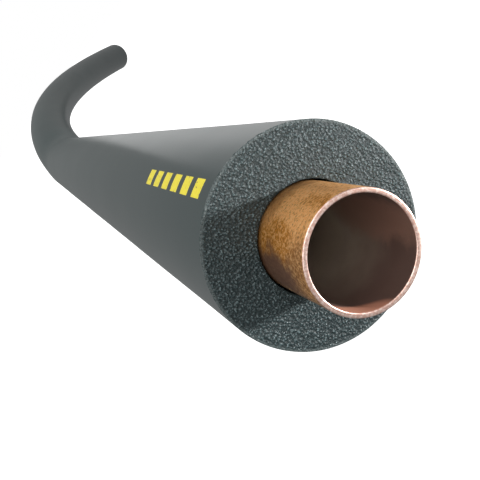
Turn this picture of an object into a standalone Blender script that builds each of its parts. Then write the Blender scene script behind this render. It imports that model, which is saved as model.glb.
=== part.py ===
"""Pipe insulation lagging: a tube of black elastomeric foam on the copper pipe that it insulates.

The tube lies unheld on a level floor. Its straight front run goes back along +Y. A short bend then lifts it off
the floor, and a long sweep turns it towards +X and lets its far end down onto the floor again.
Units are metres and Z is up.
"""

import math

import bpy
from mathutils import Matrix, Vector

# Sections
PIPE_OUTER_RADIUS = 0.0175  # 35 mm copper tube
PIPE_WALL = 0.0015
LAGGING_BORE_RADIUS = 0.0182  # slides over the pipe
LAGGING_OUTER_RADIUS = 0.0362  # 18 mm of foam all round

# Route of the centre line. A roll turns the plane of a bend about the line, from the plane of the bend before it.
LAGGING_LENGTH = 2.0  # a stock length, measured along the centre line
PIPE_STICKS_OUT = 0.032  # bare copper past each end of the lagging
FRONT_RUN = 0.85
BEND_RADIUS = 0.36
BEND_ANGLE = math.radians(12.4)
BEND_ROLL = math.radians(-68.0)  # up from level
SWEEP_RADIUS = 1.62
SWEEP_ROLL = math.radians(105.63)  # brings the far end back to the floor

# Facets
SIDES = 48
RUN_STEPS = 3
BEND_STEPS = 5
SWEEP_STEPS = 19

UP = Vector((0.0, 0.0, 1.0))


class Stretch:
    """A length of the route that is straight, or an arc about the line on its inner side."""

    def __init__(self, start, point, direction, inward, radius=None):
        self.start = start
        self.point = point
        self.direction = direction
        self.inward = inward
        self.radius = radius

    def at(self, distance):
        """The centre line's point, its direction and the way it curves, at a distance along the route."""
        along = distance - self.start
        if self.radius is None:
            return self.point + along * self.direction, self.direction, self.inward
        angle = along / self.radius
        forward = math.sin(angle) * self.direction + (1.0 - math.cos(angle)) * self.inward
        direction = math.cos(angle) * self.direction + math.sin(angle) * self.inward
        inward = math.cos(angle) * self.inward - math.sin(angle) * self.direction
        return self.point + self.radius * forward, direction, inward

    def next_arc(self, start, roll, radius):
        """The arc that follows this stretch from the given distance on, in a plane rolled about the line."""
        point, direction, inward = self.at(start)
        return Stretch(start, point, direction, Matrix.Rotation(roll, 3, direction) @ inward, radius)


BEND_END = FRONT_RUN + BEND_RADIUS * BEND_ANGLE
FRONT = Stretch(0.0, Vector((0.0, 0.0, LAGGING_OUTER_RADIUS)), Vector((0.0, 1.0, 0.0)), Vector((1.0, 0.0, 0.0)))
BEND = FRONT.next_arc(FRONT_RUN, BEND_ROLL, BEND_RADIUS)
SWEEP = BEND.next_arc(BEND_END, SWEEP_ROLL, SWEEP_RADIUS)


def route_point(distance):
    """The centre line's point and direction at this distance from the front end of the lagging."""
    if distance <= FRONT_RUN:
        stretch = FRONT
    elif distance <= BEND_END:
        stretch = BEND
    else:
        stretch = SWEEP
    point, direction, _ = stretch.at(distance)
    return point, direction


def stations(start, end):
    """Distances at which a tube from start to end has a ring of vertices."""
    found = []
    ends = (start, FRONT_RUN, BEND_END, end)
    for first, last, steps in zip(ends, ends[1:], (RUN_STEPS, BEND_STEPS, SWEEP_STEPS)):
        found += [first + (last - first) * i / steps for i in range(steps)]
    return found + [end]


def ring(distance, radius):
    """One ring of vertices square to the centre line, with its lowest vertex at the bottom."""
    centre, direction = route_point(distance)
    across = direction.cross(UP).normalized()
    above = across.cross(direction)
    turns = (2.0 * math.pi * i / SIDES for i in range(SIDES))
    return [centre + radius * (math.cos(turn) * across + math.sin(turn) * above) for turn in turns]


def clear_scene():
    for old in list(bpy.data.objects):
        bpy.data.objects.remove(old, do_unlink=True)


def plain_material(name, colour, roughness, metallic):
    material = bpy.data.materials.new(name)
    material.use_nodes = True
    shader = material.node_tree.nodes["Principled BSDF"]
    shader.inputs["Base Color"].default_value = (*colour, 1.0)
    shader.inputs["Roughness"].default_value = roughness
    shader.inputs["Metallic"].default_value = metallic
    return material


def tube(name, start, end, inner_radius, outer_radius, material):
    """An open-ended tube along the route as one closed mesh: outer wall, bore and the two end faces."""
    distances = stations(start, end)
    last = len(distances) - 1
    vertices = []
    for distance in distances:
        vertices += ring(distance, outer_radius) + ring(distance, inner_radius)

    def outer(station, i):
        return 2 * SIDES * station + i % SIDES

    def inner(station, i):
        return outer(station, i) + SIDES

    faces = []
    for i in range(SIDES):
        for s in range(last):
            faces.append((outer(s, i), outer(s + 1, i), outer(s + 1, i + 1), outer(s, i + 1)))
            faces.append((inner(s, i), inner(s, i + 1), inner(s + 1, i + 1), inner(s + 1, i)))
        faces.append((outer(0, i), outer(0, i + 1), inner(0, i + 1), inner(0, i)))
        faces.append((outer(last, i), inner(last, i), inner(last, i + 1), outer(last, i + 1)))
    mesh = bpy.data.meshes.new(name)
    mesh.from_pydata(vertices, [], faces)
    mesh.materials.append(material)
    mesh.shade_smooth()
    mesh.set_sharp_from_angle(angle=math.radians(30))
    made = bpy.data.objects.new(name, mesh)
    bpy.context.scene.collection.objects.link(made)
    return made


def centre_over_origin(pieces):
    """Moves the pieces level, so that the middle of their common bounding box is above the origin."""
    points = [vertex.co for piece in pieces for vertex in piece.data.vertices]
    middle = Vector((0.0, 0.0, 0.0))
    for axis in (0, 1):
        values = [point[axis] for point in points]
        middle[axis] = (min(values) + max(values)) / 2.0
    for piece in pieces:
        piece.location = -middle


def build():
    clear_scene()
    foam = plain_material("foam", (0.075, 0.088, 0.088), roughness=0.75, metallic=0.0)
    copper = plain_material("copper", (0.50, 0.25, 0.11), roughness=0.38, metallic=1.0)
    lagging = tube("lagging", 0.0, LAGGING_LENGTH, LAGGING_BORE_RADIUS, LAGGING_OUTER_RADIUS, foam)
    pipe_ends = (-PIPE_STICKS_OUT, LAGGING_LENGTH + PIPE_STICKS_OUT)
    copper_pipe = tube("copper_pipe", *pipe_ends, PIPE_OUTER_RADIUS - PIPE_WALL, PIPE_OUTER_RADIUS, copper)
    centre_over_origin((lagging, copper_pipe))


build()
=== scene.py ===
"""Looks of the pipe insulation lagging: a long tube of black foam on the copper pipe that it insulates.

Both follow one route, the one that the solids have: a straight front run along +Y, a short bend that lifts off the
floor, and a long sweep that turns towards +X and comes down again. Units are metres and Z is up.
"""

import math

import bpy
from mathutils import Matrix, Vector


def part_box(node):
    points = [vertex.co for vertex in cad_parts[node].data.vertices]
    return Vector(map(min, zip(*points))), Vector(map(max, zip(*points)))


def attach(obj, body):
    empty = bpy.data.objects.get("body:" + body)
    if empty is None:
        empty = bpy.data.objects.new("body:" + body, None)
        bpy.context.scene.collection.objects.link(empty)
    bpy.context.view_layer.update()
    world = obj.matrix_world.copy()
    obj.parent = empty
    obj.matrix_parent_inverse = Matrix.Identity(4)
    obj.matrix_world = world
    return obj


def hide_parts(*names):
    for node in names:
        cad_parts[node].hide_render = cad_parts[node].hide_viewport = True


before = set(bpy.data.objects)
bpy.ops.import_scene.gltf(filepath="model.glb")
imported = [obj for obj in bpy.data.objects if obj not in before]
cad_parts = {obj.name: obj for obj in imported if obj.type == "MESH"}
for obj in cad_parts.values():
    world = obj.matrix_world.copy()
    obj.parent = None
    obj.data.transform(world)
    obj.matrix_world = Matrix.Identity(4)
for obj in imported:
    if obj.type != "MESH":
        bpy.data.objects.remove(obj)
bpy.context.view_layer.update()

# Sections, as the solids have them
PIPE_OUTER_RADIUS = 0.0175
PIPE_WALL = 0.0015
PIPE_GIRTH = 2.0 * math.pi * PIPE_OUTER_RADIUS
LAGGING_BORE_RADIUS = 0.0182
LAGGING_OUTER_RADIUS = 0.0362

# Route of the centre line, as the solids have it
LAGGING_LENGTH = 2.0
PIPE_STICKS_OUT = 0.032
FRONT_RUN = 0.85
BEND_RADIUS = 0.36
BEND_ANGLE = math.radians(12.4)
BEND_ROLL = math.radians(-68.0)
SWEEP_RADIUS = 1.62
SWEEP_ROLL = math.radians(105.63)
ROUTE_LEAD = 0.05  # the drawn route starts this far before the lagging, and ends this far past it
ROUTE_STEP = 0.002

# Cut faces of the foam
CELL_SIZE = 0.00095
CELL_DEPTH = 0.00022
GROOVE_WIDTH = 0.32  # in cells

# Mesh of both tubes
UP = Vector((0.0, 0.0, 1.0))
MERGE_DISTANCE = 0.00001
SHARP_ANGLE = math.radians(60.0)
WAVES_ALONG = 9.0  # per metre, of the uneven wall
WAVES_AROUND = 1.3
LAYER_STEP = 10.0  # cells between the pattern of one face and that of the other

# Colours of the foam
SKIN_DARK = (0.025, 0.050, 0.050, 1.0)
SKIN_LIGHT = (0.031, 0.056, 0.056, 1.0)
SKIN_DUSTY_AND_LIT = (0.095, 0.114, 0.115, 1.0)
CUT_CELL = (0.018, 0.038, 0.041, 1.0)
CUT_SHADED_GROOVE = (0.001, 0.010, 0.011, 1.0)
CUT_PAINTED_GLINT = (0.108, 0.150, 0.157, 1.0)
CUT_LIP_HIGHLIGHT = (0.07, 0.09, 0.09, 1.0)
LIP_HIGHLIGHT_WIDTH = 0.0007

# Finish of the foam
SKIN_ROUGHNESS = 0.25
SKIN_LINES = (900.0, 6.0, 1.0)  # per metre around and along
# Where the skin grows paler along the route: partly dust, partly painted light
DUST_AND_LIGHT_STARTS = 1.5  # metres along
DUST_AND_LIGHT_ENDS = 2.3
DUST_AND_LIGHT_RAGGED = 0.6
CUT_ROUGHNESS = 0.50
CUT_SHINE = 0.28

# Printed marks on the foam's skin, placed on the wall unrolled
MARK_COLOUR = (0.95, 0.80, 0.02, 1.0)
MARK_AROUND = 0.0655
MARK_WIDTH = 0.0065
MARK_START = 0.010
MARK_STEP = 0.015
MARK_SHARE = 0.62
MARK_COUNT = 6
# Painted light: the print glows a little, so it looks brighter than ink under the lamps
MARK_PAINTED_GLOW = 0.28  # bright ink

# Colours of the copper
COPPER_TAN = (1.0, 0.485, 0.155, 1.0)
COPPER_ORANGE = (0.66, 0.25, 0.02, 1.0)
COPPER_RUST_AND_SHADE = (0.32, 0.125, 0.03, 1.0)
COPPER_BROWN_AND_SHADE = (0.155, 0.080, 0.060, 1.0)
COPPER_PALE = (1.0, 0.62, 0.28, 1.0)
COPPER_STAIN_AND_SHADE = (0.11, 0.05, 0.02, 1.0)
COPPER_BORE = (0.11, 0.064, 0.050, 1.0)
# Paler deeper in the bore: painted light
COPPER_BORE_DEEP_PAINTED_LIGHT = (0.48, 0.39, 0.30, 1.0)
COPPER_BORE_RED = (0.26, 0.14, 0.10, 1.0)
COPPER_MOUTH_PAINTED_LIGHT = (0.52, 0.23, 0.15, 1.0)
COPPER_CUT = (0.90, 0.70, 0.62, 1.0)
COPPER_CUT_DULL = (0.70, 0.44, 0.36, 1.0)

# Places of the copper's tarnish, and of the painted shade in some of them by the foam and down the lower side: middle
# around the pipe, depth from its end, half width and half depth
ORANGE_SIDE = (0.0375, 0.022, 0.0060, 0.017)
ORANGE_RIM = (0.0230, 0.005, 0.0035, 0.010)
BROWN_AND_SHADE_SIDE = (0.0475, 0.024, 0.0090, 0.019)
RUST_AND_SHADE_BY_FOAM = (0.0225, 0.0285, 0.0120, 0.0045)
STAIN_AND_SHADE_BY_FOAM = (0.0225, 0.0325, 0.0075, 0.0050)
RED_IN_BORE = (0.1035, 0.020, 0.0100, 0.035)
TARNISH_AND_SHADE_RAGGED = 0.012
STAIN_AND_SHADE_RING_WIDTH = 0.002
# Painted light on the lower side of the bore, just inside the mouth
MOUTH_LIGHT_AROUND = 0.066
MOUTH_LIGHT_HALF_WIDTH = 0.012
MOUTH_LIGHT_DEPTH = 0.008

# Finish of the copper
COPPER_ROUGHNESS = 0.45
COPPER_METALLIC = 0.55  # under its tarnish
CUT_POLISH = 0.15

# Studio
CAMERA_FROM_FACE = Vector((-0.03155, -0.19443, 0.08622))
CAMERA_AIM = Vector((0.08296, 0.94163, -0.32627))
CAMERA_TOP = Vector((0.80377, 0.13032, 0.5805))
CAMERA_LENS = 52.5
FLOOR_SIZE = 80.0
FLOOR_COLOUR = (0.85, 0.85, 0.85, 1.0)
FLOOR_GLOW = 1.2
AMBIENT = 0.34


class Socket:
    """An output of a node, with the arithmetic that adds Math nodes to its tree."""

    def __init__(self, tree, socket):
        self.tree = tree
        self.socket = socket

    def math(self, operation, *values):
        return self.tree.math(operation, *values)

    def __add__(self, other):
        return self.math("ADD", self, other)

    __radd__ = __add__

    def __sub__(self, other):
        return self.math("SUBTRACT", self, other)

    def __rsub__(self, other):
        return self.math("SUBTRACT", other, self)

    def __mul__(self, other):
        return self.math("MULTIPLY", self, other)

    __rmul__ = __mul__

    def __truediv__(self, other):
        return self.math("DIVIDE", self, other)

    def __rtruediv__(self, other):
        return self.math("DIVIDE", other, self)

    def __pow__(self, other):
        return self.math("POWER", self, other)

    def __lt__(self, other):
        return self.math("LESS_THAN", self, other)

    def __gt__(self, other):
        return self.math("GREATER_THAN", self, other)

    def __abs__(self):
        return self.math("ABSOLUTE", self)

    def whole(self):
        return self.math("ROUND", self)

    def clamped(self):
        """Held between 0 and 1."""
        return self.tree.add("ShaderNodeClamp", {}, {"Value": self})

    def ramp(self, low, high):
        """0 up to low and 1 from high on, smooth between them."""
        settings = {"interpolation_type": "SMOOTHSTEP"}
        return self.tree.add("ShaderNodeMapRange", settings, {"Value": self, "From Min": low, "From Max": high})


class Tree:
    """A node tree that is being built, for a material or for geometry."""

    def __init__(self, tree):
        self.tree = tree

    def add(self, kind, settings, sockets, out=0):
        """A node of this kind. sockets holds values or links, by order or by name. Gives its output number out."""
        node = self.tree.nodes.new(kind)
        for name, value in settings.items():
            setattr(node, name, value)
        shown = [socket for socket in node.inputs if socket.enabled]
        if isinstance(sockets, dict):
            filled = [(next(s for s in shown if s.name == name), value) for name, value in sockets.items()]
        else:
            filled = zip(shown, sockets)
        for socket, value in filled:
            if isinstance(value, Socket):
                self.tree.links.new(value.socket, socket)
            else:
                socket.default_value = value
        made = [socket for socket in node.outputs if socket.enabled]
        return Socket(self, made[out]) if made else None

    def outputs(self, first):
        """Every output of the node that made this one."""
        return [Socket(self, socket) for socket in first.socket.node.outputs if socket.enabled]

    def math(self, operation, *values):
        return self.add("ShaderNodeMath", {"operation": operation}, values)

    def vector(self, operation, *values, out=0):
        return self.add("ShaderNodeVectorMath", {"operation": operation}, list(values), out)

    def mixed(self, share, first, second):
        """The colour first, with this share of the colour second over it."""
        sockets = {"Factor": share, "A": first, "B": second}
        return self.add("ShaderNodeMix", {"data_type": "RGBA"}, sockets)

    def noise(self, place, scale, detail=2.0, roughness=0.5):
        sockets = {"Vector": place, "Scale": scale, "Detail": detail, "Roughness": roughness}
        return self.add("ShaderNodeTexNoise", {}, sockets)


# The route


class Stretch:
    """A length of the route that is straight, or an arc about the line on its inner side."""

    def __init__(self, start, point, direction, inward, radius=None):
        self.start = start
        self.point = point
        self.direction = direction
        self.inward = inward
        self.radius = radius

    def at(self, distance):
        """The centre line's point, its direction and the way it curves, at a distance along the route."""
        along = distance - self.start
        if self.radius is None:
            return self.point + along * self.direction, self.direction, self.inward
        angle = along / self.radius
        forward = math.sin(angle) * self.direction + (1.0 - math.cos(angle)) * self.inward
        direction = math.cos(angle) * self.direction + math.sin(angle) * self.inward
        inward = math.cos(angle) * self.inward - math.sin(angle) * self.direction
        return self.point + self.radius * forward, direction, inward

    def next_arc(self, start, roll, radius):
        """The arc that follows this stretch from the given distance on, in a plane rolled about the line."""
        point, direction, inward = self.at(start)
        return Stretch(start, point, direction, Matrix.Rotation(roll, 3, direction) @ inward, radius)


lagging_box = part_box("lagging")
front_centre = Vector((lagging_box[0][0] + LAGGING_OUTER_RADIUS, lagging_box[0][1], LAGGING_OUTER_RADIUS))
bend_end = FRONT_RUN + BEND_RADIUS * BEND_ANGLE
front_stretch = Stretch(0.0, front_centre, Vector((0.0, 1.0, 0.0)), Vector((1.0, 0.0, 0.0)))
bend_stretch = front_stretch.next_arc(FRONT_RUN, BEND_ROLL, BEND_RADIUS)
sweep_stretch = bend_stretch.next_arc(bend_end, SWEEP_ROLL, SWEEP_RADIUS)


def route_point(distance):
    if distance <= FRONT_RUN:
        return front_stretch.at(distance)[0]
    return (bend_stretch if distance <= bend_end else sweep_stretch).at(distance)[0]


def draw_route():
    """A guide curve along the centre line, which only the geometry nodes read."""
    steps = round((LAGGING_LENGTH + 2.0 * ROUTE_LEAD) / ROUTE_STEP)
    curve = bpy.data.curves.new("route", "CURVE")
    curve.dimensions = "3D"
    spline = curve.splines.new("POLY")
    spline.points.add(steps)
    for i, point in enumerate(spline.points):
        point.co = (*route_point(i * ROUTE_STEP - ROUTE_LEAD), 1.0)
    made = bpy.data.objects.new("route", curve)
    bpy.context.scene.collection.objects.link(made)
    return made


# Geometry


def tube_tree():
    """A tube along the route, bent from one grid whose rows cross the front face, the wall, the far face and the bore.

    The end faces have fine columns. On the wall and in the bore several columns join into one.
    """
    group = bpy.data.node_groups.new("tube along the route", "GeometryNodeTree")
    kinds = {
        "Geometry": "NodeSocketGeometry",
        "Route": "NodeSocketObject",
        "Start": "NodeSocketFloat",
        "Length": "NodeSocketFloat",
        "Bore Radius": "NodeSocketFloat",
        "Outer Radius": "NodeSocketFloat",
        "Columns": "NodeSocketInt",
        "Columns Joined": "NodeSocketInt",
        "Face Rows": "NodeSocketInt",
        "Wall Rows": "NodeSocketInt",
        "Bore Rows": "NodeSocketInt",
        "Edge Row": "NodeSocketFloat",
        "Edge Rounding": "NodeSocketFloat",
        "Edge Sharpness": "NodeSocketFloat",
        "Unevenness": "NodeSocketFloat",
        "Cell Size": "NodeSocketFloat",
        "Cell Depth": "NodeSocketFloat",
        "Seed": "NodeSocketFloat",
        "Material": "NodeSocketMaterial",
    }
    for name, kind in kinds.items():
        group.interface.new_socket(name, in_out="INPUT", socket_type=kind)
    group.interface.new_socket("Geometry", in_out="OUTPUT", socket_type="NodeSocketGeometry")
    tree = Tree(group)
    given = dict(zip(kinds, tree.outputs(tree.add("NodeGroupInput", {}, {}))))

    # The grid, and how far each row has come over each of the four surfaces
    columns, face_rows, wall_rows = given["Columns"], given["Face Rows"], given["Wall Rows"]
    rows = 2.0 * face_rows + wall_rows + given["Bore Rows"]
    grid = tree.add("GeometryNodeMeshGrid", {}, [columns, rows, columns + 1.0, rows + 1.0])
    place = tree.outputs(tree.add("ShaderNodeSeparateXYZ", {}, [tree.add("GeometryNodeInputPosition", {}, {})]))
    column = (place[0] + columns / 2.0).whole()
    row_middle = place[1] + rows / 2.0
    row = row_middle.whole()
    front = (row / face_rows).clamped()
    far = ((row - face_rows - wall_rows) / face_rows).clamped()

    # Columns, joined on the wall and in the bore
    past_far_middle = abs(row_middle - 1.5 * face_rows - wall_rows)
    fine = (row < face_rows + 0.5) + (row > rows - 0.5) + (past_far_middle < face_rows / 2.0 + 0.5)
    joined = (column / given["Columns Joined"]).whole() * given["Columns Joined"]
    angle = (joined + fine.clamped() * (column - joined)) / columns * (2.0 * math.pi)
    cosine, sine = tree.math("COSINE", angle), tree.math("SINE", angle)

    # The section: rounded edges, an outer wall that isn't quite even, and open cells on the faces
    rounding, sharpness = given["Edge Rounding"], given["Edge Sharpness"]
    straight = given["Length"] - 2.0 * rounding

    def come_along(rows_come, all_rows):
        """How far these rows have come between the end faces. The first and the last row are narrow."""
        narrow = rows_come.clamped() + (rows_come - all_rows + 1.0).clamped()
        wide = ((rows_come - 1.0) / (all_rows - 2.0)).clamped()
        return given["Edge Row"] * narrow + (straight - 2.0 * given["Edge Row"]) * wide

    wall = come_along(row - face_rows, wall_rows)
    bore = come_along(row - 2.0 * face_rows - wall_rows, given["Bore Rows"])
    front_edge = abs(2.0 * front - 1.0) ** sharpness
    far_edge = abs(2.0 * far - 1.0) ** sharpness
    along = wall - bore + rounding * (front_edge + 1.0 - far_edge)
    wander = tree.add("ShaderNodeCombineXYZ", {}, [cosine, sine, along * WAVES_ALONG + given["Seed"]])
    outer = given["Outer Radius"] - given["Unevenness"] * tree.noise(wander, WAVES_AROUND, 1.0)
    radius = given["Bore Radius"] + (outer - given["Bore Radius"]) * (front - far)
    across, above = radius * cosine, radius * sine
    layer = (given["Seed"] + far) * given["Cell Size"] * LAYER_STEP
    cut = tree.vector("SCALE", tree.add("ShaderNodeCombineXYZ", {}, [across, above, layer]), 1.0 / given["Cell Size"])
    depth = tree.add("ShaderNodeTexVoronoi", {"feature": "DISTANCE_TO_EDGE"}, {"Vector": cut, "Scale": 1.0})
    groove = (1.0 - depth.ramp(0.0, GROOVE_WIDTH)) * (far_edge - front_edge)
    along = along + given["Cell Depth"] * groove

    # Onto the route
    curve = tree.outputs(tree.add("GeometryNodeObjectInfo", {}, {"Object": given["Route"]}))[-1]
    sockets = {"Curves": curve, "Length": given["Start"] + along}
    _, point, tangent, _ = tree.outputs(tree.add("GeometryNodeSampleCurve", {"mode": "LENGTH"}, sockets))
    side = tree.vector("NORMALIZE", tree.vector("CROSS_PRODUCT", tangent, UP))
    top = tree.vector("CROSS_PRODUCT", side, tangent)
    shift = tree.vector("ADD", tree.vector("SCALE", side, across), tree.vector("SCALE", top, above))
    position = tree.vector("ADD", point, shift)

    # What the materials read: the wall unrolled in metres, the faces, the bore, and the section's place in cells
    past_far = past_far_middle < face_rows / 2.0
    unrolled = tree.add("ShaderNodeCombineXYZ", {}, [angle * given["Outer Radius"], along, 0.0])
    stored = {
        "unrolled": ("FLOAT2", "CORNER", unrolled),
        "on_cut": ("FLOAT", "FACE", (row_middle < face_rows) + past_far),
        "in_bore": ("FLOAT", "FACE", row_middle > 2.0 * face_rows + wall_rows),
        "section": ("FLOAT_VECTOR", "POINT", cut),
    }
    made = grid
    for name, (kind, domain, value) in stored.items():
        settings = {"data_type": kind, "domain": domain}
        sockets = {"Geometry": made, "Name": name, "Value": value}
        made = tree.add("GeometryNodeStoreNamedAttribute", settings, sockets)
    made = tree.add("GeometryNodeSetPosition", {}, {"Geometry": made, "Position": position})
    made = tree.add("GeometryNodeMergeByDistance", {}, {"Geometry": made, "Distance": MERGE_DISTANCE})
    made = tree.add("GeometryNodeFlipFaces", {}, {"Mesh": made})  # outwards
    made = tree.add("GeometryNodeSetShadeSmooth", {"domain": "FACE"}, {"Geometry": made, "Shade Smooth": True})
    sharp = tree.add("GeometryNodeInputMeshEdgeAngle", {}, {}) > SHARP_ANGLE
    sockets = {"Geometry": made, "Selection": sharp, "Shade Smooth": False}
    made = tree.add("GeometryNodeSetShadeSmooth", {"domain": "EDGE"}, sockets)
    made = tree.add("GeometryNodeRealizeInstances", {}, {"Geometry": made})
    made = tree.add("GeometryNodeSetMaterial", {}, {"Geometry": made, "Material": given["Material"]})
    tree.add("NodeGroupOutput", {}, {"Geometry": made})
    return group


def shaped(name, group, values):
    """A plain mesh object of what the geometry tree makes from these values, with the tree no longer on it."""
    maker = bpy.data.objects.new(name + "_maker", bpy.data.meshes.new(name + "_maker"))
    bpy.context.scene.collection.objects.link(maker)
    modifier = maker.modifiers.new("tube", "NODES")
    modifier.node_group = group
    for item in group.interface.items_tree:
        if item.in_out == "INPUT" and item.name in values:
            modifier[item.identifier] = values[item.name]
    graph = bpy.context.evaluated_depsgraph_get()
    seen = maker.evaluated_get(graph)
    mesh = bpy.data.meshes.new_from_object(seen, preserve_all_data_layers=True, depsgraph=graph)
    mesh.name = name
    bpy.data.objects.remove(maker)
    made = bpy.data.objects.new(name, mesh)
    bpy.context.scene.collection.objects.link(made)
    return made


# Materials


def new_material(name):
    """An empty material, and its tree."""
    material = bpy.data.materials.new(name)
    material.use_nodes = True
    material.node_tree.nodes.clear()
    return material, Tree(material.node_tree)


def finish_material(tree, sockets):
    """Adds the shader, with these values and links, and the material's output."""
    shader = tree.add("ShaderNodeBsdfPrincipled", {}, sockets)
    tree.add("ShaderNodeOutputMaterial", {}, {"Surface": shader})


def attribute(tree, name, out=2):
    """A value that the geometry tree stored: a vector with out=1, a number with out=2."""
    return tree.add("ShaderNodeAttribute", {"attribute_name": name}, {}, out)


def foam_material():
    material, tree = new_material("foam")
    place = tree.add("ShaderNodeTexCoord", {}, {}, 3)
    unrolled = attribute(tree, "unrolled", 1)
    on_cut = attribute(tree, "on_cut")
    around, along, _ = tree.outputs(tree.add("ShaderNodeSeparateXYZ", {}, [unrolled]))

    # Skin: a satin extruded surface with faint lines along it, and a paler far part that is partly dust and partly
    # painted light
    lines_place = tree.vector("MULTIPLY", unrolled, SKIN_LINES)
    lines = tree.noise(lines_place, 1.0, 3.0)
    cloud = tree.noise(place, 14.0, 3.0)
    grain = tree.noise(place, 2600.0, 2.0)
    skin = tree.mixed(cloud.ramp(0.35, 0.7), SKIN_DARK, SKIN_LIGHT)
    # Painted light: the far part of the skin is made paler, partly as dust and partly standing in for the light on it
    dust_and_painted_light = (along + cloud * DUST_AND_LIGHT_RAGGED).ramp(DUST_AND_LIGHT_STARTS, DUST_AND_LIGHT_ENDS)
    skin = tree.mixed(dust_and_painted_light, skin, SKIN_DUSTY_AND_LIT)
    skin_roughness = SKIN_ROUGHNESS + 0.06 * cloud + 0.03 * grain

    # Printed marks: a row of plain bars near the front end
    across = abs(around - MARK_AROUND) < MARK_WIDTH / 2.0
    step = (along - MARK_START) / MARK_STEP
    bar = tree.math("FRACT", step) < MARK_SHARE
    marks = across * bar * (step > 0.0) * (step < MARK_COUNT) * (1.0 - on_cut)
    worn = tree.noise(place, 900.0, 2.0).ramp(0.25, 0.42)
    printed = marks * worn
    skin = tree.mixed(printed, skin, MARK_COLOUR)
    # Painted light: the print glows
    ink_painted_glow = tree.mixed(printed, (0.0, 0.0, 0.0, 1.0), MARK_COLOUR)

    # Cut faces: the same cells as in the shape, wrinkled, with painted shade in the grooves round them and points that
    # shine, with a painted highlight in their colour
    cell_place = {"Vector": attribute(tree, "section", 1), "Scale": 1.0}
    edge = tree.add("ShaderNodeTexVoronoi", {"feature": "DISTANCE_TO_EDGE"}, cell_place)
    middle = tree.add("ShaderNodeTexVoronoi", {"feature": "F1"}, cell_place)
    luck = tree.add("ShaderNodeSeparateXYZ", {}, [tree.outputs(middle)[1]])
    fine = tree.noise(place, 2400.0, 2.0)
    wrinkles = tree.noise(place, 1300.0, 3.0, 0.65)
    # Painted shade: the colour darkens in the recessed grooves between the cells; the wrinkles darken it at random as
    # well
    cell_and_groove_shade = tree.mixed(edge.ramp(0.02, 0.30) * wrinkles.ramp(0.38, 0.58), CUT_SHADED_GROOVE, CUT_CELL)
    # Painted highlight: the glint points get a paler colour as well as a lower roughness
    shine_and_painted_glint = (1.0 - middle.ramp(0.15, 0.45)) * luck.ramp(0.0, 0.8)
    shine_and_painted_glint = (shine_and_painted_glint * 0.55 + wrinkles.ramp(0.52, 0.68) * 0.75).clamped()
    cut = tree.mixed(shine_and_painted_glint, cell_and_groove_shade, CUT_PAINTED_GLINT)

    # A painted highlight: a paler lip where the skin ends
    flat = tree.vector("MULTIPLY", attribute(tree, "section", 1), (CELL_SIZE, CELL_SIZE, 0.0))
    from_middle = tree.vector("LENGTH", flat)
    lip_highlight = from_middle.ramp(LAGGING_OUTER_RADIUS - 2.0 * LIP_HIGHLIGHT_WIDTH, LAGGING_OUTER_RADIUS - LIP_HIGHLIGHT_WIDTH)
    cut = tree.mixed(lip_highlight * fine.ramp(0.3, 0.55), cut, CUT_LIP_HIGHLIGHT)
    colour = tree.mixed(on_cut, skin, cut)
    roughness = skin_roughness + on_cut * (CUT_ROUGHNESS - CUT_SHINE * shine_and_painted_glint - skin_roughness)

    skin_height = 0.6 * lines + 0.4 * grain
    bump = tree.add("ShaderNodeBump", {}, {"Strength": 0.05, "Distance": 0.0002, "Height": skin_height})
    cut_height = (1.0 - middle.ramp(0.0, 0.6)) * (0.4 + 0.6 * luck) + 1.2 * wrinkles
    cut_bump = tree.add("ShaderNodeBump", {}, {"Strength": 0.8, "Distance": 0.0003, "Height": cut_height})
    normal = tree.add("ShaderNodeMix", {"data_type": "VECTOR"}, {"Factor": on_cut, "A": bump, "B": cut_bump})
    sockets = {"Base Color": colour, "Roughness": roughness, "Normal": normal, "Emission Color": ink_painted_glow}
    finish_material(tree, {**sockets, "Emission Strength": MARK_PAINTED_GLOW})
    return material


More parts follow.
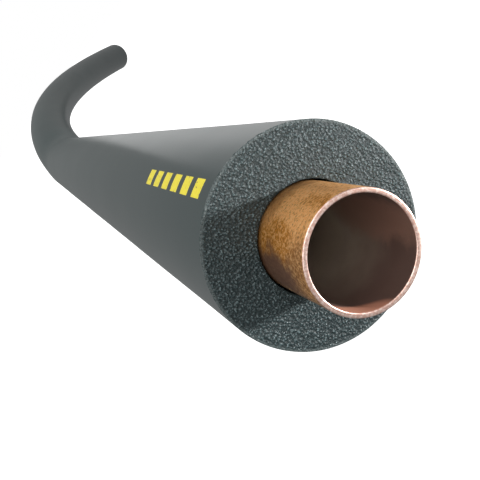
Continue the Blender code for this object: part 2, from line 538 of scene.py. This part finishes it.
def copper_material():
    material, tree = new_material("copper")
    place = tree.add("ShaderNodeTexCoord", {}, {}, 3)
    on_cut = attribute(tree, "on_cut")
    in_bore = attribute(tree, "in_bore")
    unrolled = tree.outputs(tree.add("ShaderNodeSeparateXYZ", {}, [attribute(tree, "unrolled", 1)]))

    # Distances around and inward from the nearer end, ragged by a noise
    cloud = tree.noise(place, 130.0, 4.0, 0.6)
    speckle = tree.noise(place, 1100.0, 3.0, 0.7)
    ragged = cloud - 0.5
    half_way = LAGGING_LENGTH / 2.0
    from_end = half_way + PIPE_STICKS_OUT - abs(unrolled[1] - half_way - PIPE_STICKS_OUT)
    around = unrolled[0] + ragged * TARNISH_AND_SHADE_RAGGED
    inward = from_end + ragged * TARNISH_AND_SHADE_RAGGED

    def patch(middle, depth, half_width, half_depth):
        """A soft patch, placed around the pipe and inward from its end: tarnish, and in places painted shade as well.
        """
        turns = (around - middle) / PIPE_GIRTH
        aside = (turns - turns.whole()) * PIPE_GIRTH
        reach = (aside / half_width) ** 2.0 + ((inward - depth) / half_depth) ** 2.0
        return 1.0 - reach.ramp(0.15, 1.3)

    # Outside: tan, with orange, rust and brown patches, fine speckle and a dark ring where it leaves the foam. The
    # rust and brown down the lower side, and the ring and patches by the foam, are partly tarnish and partly painted
    # shade
    back = around.ramp(0.080, 0.100)
    # Painted shade: rust over the lower half and brown along the bottom darken the side the light falls away from,
    # partly as tarnish
    outside = tree.mixed((around.ramp(0.0325, 0.0385) - back) * 0.8, COPPER_TAN, COPPER_RUST_AND_SHADE)
    outside = tree.mixed(patch(*ORANGE_SIDE) * 0.95, outside, COPPER_ORANGE)
    outside = tree.mixed(around.ramp(0.050, 0.057) - back, outside, COPPER_BROWN_AND_SHADE)
    outside = tree.mixed(patch(*ORANGE_RIM) * 0.9, outside, COPPER_ORANGE)
    outside = tree.mixed((1.0 - around.ramp(0.0165, 0.0205) + back) * 0.15, outside, COPPER_RUST_AND_SHADE)
    outside = tree.mixed(speckle.ramp(0.48, 0.60) * 0.65, outside, COPPER_PALE)
    outside = tree.mixed((1.0 - speckle.ramp(0.36, 0.49)) * 0.5, outside, COPPER_STAIN_AND_SHADE)
    outside = tree.mixed(patch(*BROWN_AND_SHADE_SIDE) * 0.85, outside, COPPER_BROWN_AND_SHADE)
    # Painted shade: rust and a dark stain at the top by the foam, partly tarnish and partly the shade where the pipe
    # leaves the foam
    outside = tree.mixed(patch(*RUST_AND_SHADE_BY_FOAM) * 0.55, outside, COPPER_RUST_AND_SHADE)
    outside = tree.mixed(patch(*STAIN_AND_SHADE_BY_FOAM) * 0.3, outside, COPPER_STAIN_AND_SHADE)
    # Painted shade: a dark ring where the pipe leaves the foam, partly stain and partly the shade there
    stain_and_shade_ring = from_end.ramp(PIPE_STICKS_OUT - STAIN_AND_SHADE_RING_WIDTH, PIPE_STICKS_OUT)
    outside = tree.mixed(stain_and_shade_ring * 0.4, outside, COPPER_STAIN_AND_SHADE)

    # Inside: a dull brown, made paler deeper down as painted light, red at one side of the mouth, and a painted pool
    # of light on its lower side
    inside = tree.mixed(inward.ramp(0.008, 0.060), COPPER_BORE, COPPER_BORE_DEEP_PAINTED_LIGHT)
    inside = tree.mixed(patch(*RED_IN_BORE) * 0.8, inside, COPPER_BORE_RED)
    # Painted light: a reddish pool of light on the lower side of the bore, just inside the mouth
    reach = ((unrolled[0] - MOUTH_LIGHT_AROUND) / MOUTH_LIGHT_HALF_WIDTH) ** 2.0 + (from_end / MOUTH_LIGHT_DEPTH) ** 2.0
    inside = tree.mixed(1.0 - reach.ramp(0.5, 1.1), inside, COPPER_MOUTH_PAINTED_LIGHT)

    # The sawn ends are bright and a little mottled
    sawn = tree.mixed(speckle.ramp(0.42, 0.62), COPPER_CUT_DULL, COPPER_CUT)
    colour = tree.mixed(in_bore, outside, inside)
    colour = tree.mixed(on_cut, colour, sawn)
    roughness = COPPER_ROUGHNESS + 0.15 * cloud + in_bore * 0.1 - on_cut * CUT_POLISH
    metallic = COPPER_METALLIC + (on_cut - in_bore) * (1.0 - COPPER_METALLIC)
    height = 0.6 * cloud + 0.4 * speckle
    bump = tree.add("ShaderNodeBump", {}, {"Strength": 0.12, "Distance": 0.0003, "Height": height})
    finish_material(tree, {"Base Color": colour, "Roughness": roughness, "Metallic": metallic, "Normal": bump})
    return material


# Camera and light


def place_camera():
    """The photograph's viewpoint, low over the front end and leaning to one side."""
    back = -CAMERA_AIM.normalized()
    right = CAMERA_TOP.cross(back).normalized()
    data = bpy.data.cameras.new("camera")
    data.sensor_width = 36.0
    data.lens = CAMERA_LENS
    data.clip_start = 0.01
    camera = bpy.data.objects.new("camera", data)
    turn = Matrix((right, back.cross(right), back)).transposed().to_4x4()
    camera.matrix_world = Matrix.Translation(front_centre + CAMERA_FROM_FACE) @ turn
    bpy.context.scene.collection.objects.link(camera)
    bpy.context.scene.camera = camera


def area_light(name, offset, target, size, radiance):
    """A soft rectangular light, measured from the middle of the front face. The camera doesn't see it itself."""
    data = bpy.data.lights.new(name, "AREA")
    data.shape = "RECTANGLE"
    data.size, data.size_y = size
    data.energy = radiance * math.pi * size[0] * size[1]
    lamp = bpy.data.objects.new(name, data)
    lamp.location = front_centre + Vector(offset)
    aim = Vector(target) - Vector(offset)
    lamp.rotation_euler = aim.to_track_quat("-Z", "Y").to_euler()
    lamp.visible_camera = False
    bpy.context.scene.collection.objects.link(lamp)


def make_floor():
    """A pale floor that glows a little and lets the lights through, like the glass of a light table."""
    half = FLOOR_SIZE / 2.0
    corners = [(-half, -half, 0.0), (half, -half, 0.0), (half, half, 0.0), (-half, half, 0.0)]
    mesh = bpy.data.meshes.new("floor")
    mesh.from_pydata(corners, [], [(0, 1, 2, 3)])
    material, tree = new_material("pale_floor")
    sockets = {"Base Color": FLOOR_COLOUR, "Roughness": 0.7, "Emission Color": FLOOR_COLOUR}
    finish_material(tree, {**sockets, "Emission Strength": FLOOR_GLOW})
    mesh.materials.append(material)
    floor = bpy.data.objects.new("floor", mesh)
    bpy.context.scene.collection.objects.link(floor)
    floor.visible_shadow = False
    floor.visible_diffuse = False
    floor.visible_glossy = False


def set_world():
    """White behind the object, and a dimmer white all round for its light."""
    world = bpy.data.worlds.new("studio")
    bpy.context.scene.world = world
    world.use_nodes = True
    tree = Tree(world.node_tree)
    seen = tree.add("ShaderNodeLightPath", {}, {})
    strength = AMBIENT + seen * (1.0 - AMBIENT)
    world.node_tree.links.new(strength.socket, world.node_tree.nodes["Background"].inputs["Strength"])
    world.node_tree.nodes["Background"].inputs["Color"].default_value = (1.0, 1.0, 1.0, 1.0)


route = draw_route()
group = tube_tree()
lagging = shaped("foam_lagging", group, {
    "Route": route,
    "Start": ROUTE_LEAD,
    "Length": LAGGING_LENGTH,
    "Bore Radius": LAGGING_BORE_RADIUS,
    "Outer Radius": LAGGING_OUTER_RADIUS,
    "Columns": 560,
    "Columns Joined": 5,
    "Face Rows": 60,
    "Wall Rows": 100,
    "Bore Rows": 50,
    "Edge Row": 0.0008,
    "Edge Rounding": 0.0003,
    "Edge Sharpness": 40.0,
    "Unevenness": 0.0004,
    "Cell Size": CELL_SIZE,
    "Cell Depth": CELL_DEPTH,
    "Seed": 3.0,
    "Material": foam_material(),
})
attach(lagging, "root")
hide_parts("lagging")

pipe = shaped("copper_tube", group, {
    "Route": route,
    "Start": ROUTE_LEAD - PIPE_STICKS_OUT,
    "Length": LAGGING_LENGTH + 2.0 * PIPE_STICKS_OUT,
    "Bore Radius": PIPE_OUTER_RADIUS - PIPE_WALL,
    "Outer Radius": PIPE_OUTER_RADIUS,
    "Columns": 160,
    "Columns Joined": 2,
    "Face Rows": 10,
    "Wall Rows": 110,
    "Bore Rows": 110,
    "Edge Row": 0.0006,
    "Edge Rounding": 0.00018,
    "Edge Sharpness": 5.0,
    "Unevenness": 0.0,
    "Cell Size": CELL_SIZE,
    "Cell Depth": 0.0,
    "Seed": 5.0,
    "Material": copper_material(),
})
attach(pipe, "root")
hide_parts("copper_pipe")

bpy.data.objects.remove(route)
make_floor()
set_world()
place_camera()
area_light("back_panel", (0.53, 1.0, -0.185), (0.53, 0.0, -0.185), (0.84, 0.45), 0.50)
area_light("back_strip", (0.53, 1.0, 0.115), (0.53, 0.0, 0.115), (0.84, 0.15), 0.92)
area_light("key_light", (0.389, -0.308, -0.239), (0.0, 0.0, 0.0), (0.042, 0.042), 760.0)
area_light("front_softbox", (-0.1, -0.8, 0.9), (0.0, 0.0, 0.0), (1.3, 1.3), 1.0)
area_light("camera_fill", (-0.052, -0.32, 0.142), (0.0, 0.0, 0.0), (0.32, 0.32), 1.9)
area_light("far_fill", (-0.4, 1.0, 1.0), (0.3, 2.0, 0.0), (1.5, 1.5), 0.9)

bpy.context.scene.view_settings.view_transform = "Standard"
